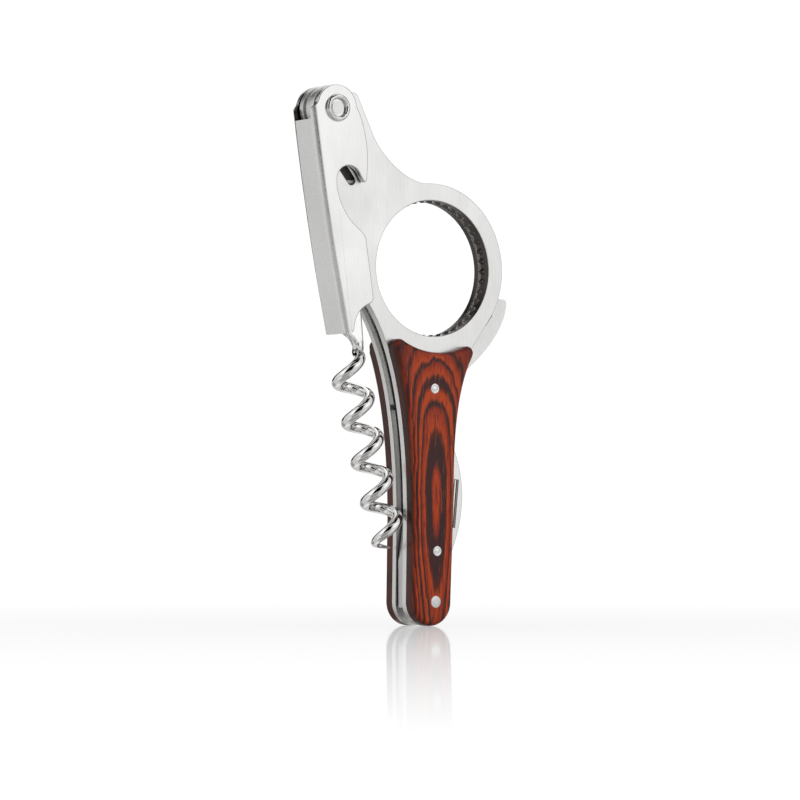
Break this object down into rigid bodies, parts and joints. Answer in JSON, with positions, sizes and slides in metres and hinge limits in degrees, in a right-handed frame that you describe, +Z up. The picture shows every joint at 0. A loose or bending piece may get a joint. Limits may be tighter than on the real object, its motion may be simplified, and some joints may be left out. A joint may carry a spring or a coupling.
{
  "type": "waiters corkscrew",
  "caption": "Folding waiter's corkscrew: channel lever with cap hook, worm, toothed ring for gripping corks and caps, folding knife, riveted steel handle with wooden scales.",
  "frame": {"origin": "on the surface the handle end stands on, under the middle of the closed tool's bounding box", "axes": "+Z up along the handle towards the lever's hinge, +X from the lever towards the ring, +Y from the near side with the lever's near flank to the far side"},
  "size_m": [0.0536, 0.0116, 0.1176],
  "materials": {
    "satin_steel": "fine satin",
    "plate_steel": "satin, stamped edges",
    "lever_steel": "fine satin, brushed along its length",
    "spring_steel": "ground",
    "blade_steel": "polished",
    "worm_chrome": "mirror polished",
    "bright_rivet": "polished",
    "pivot_rivet": "turned",
    "washer_brass": "plain",
    "rosewood": "glossy oiled red laminated wood"
  },
  "bodies": {
    "handle": {"near_liner": "satin_steel", "far_liner": "satin_steel", "toothed_plate": "plate_steel", "spacer_shims": "plate_steel", "back_spring": "spring_steel", "spring_anchor_pin": "spring_steel", "near_scale": "rosewood", "far_scale": "rosewood", "scale_rivet_sleeves": "bright_rivet", "scale_rivet_cores": "bright_rivet", "knife_pivot_rivet": "pivot_rivet", "worm_pin": "pivot_rivet"},
    "lever": {"lever": "lever_steel", "lever_rivet": "bright_rivet", "lever_rivet_core": "pivot_rivet", "lever_washers": "spring_steel"},
    "worm": {"worm_hub": "worm_chrome", "worm_wire": "worm_chrome"},
    "knife": {"knife_blade": "blade_steel", "knife_washers": "washer_brass"}
  },
  "joints": [
    {"name": "lever_hinge", "type": "hinge", "parent": "handle", "child": "lever", "pos_m": [-0.02044, 0, 0.1124], "axis": [0, 1, 0], "range_deg": [0, 160]},
    {"name": "worm_hinge", "type": "hinge", "parent": "handle", "child": "worm", "pos_m": [-0.01424, 0, 0.0744], "axis": [0, 1, 0], "range_deg": [0, 90]},
    {"name": "knife_hinge", "type": "hinge", "parent": "handle", "child": "knife", "pos_m": [0.00446, 0, 0.0053], "axis": [0, 1, 0], "range_deg": [0, 180]}
  ],
  "couplings": [
    {"joint": "worm_hinge", "follows": "lever_hinge", "ratio": 0.5625}
  ]
}
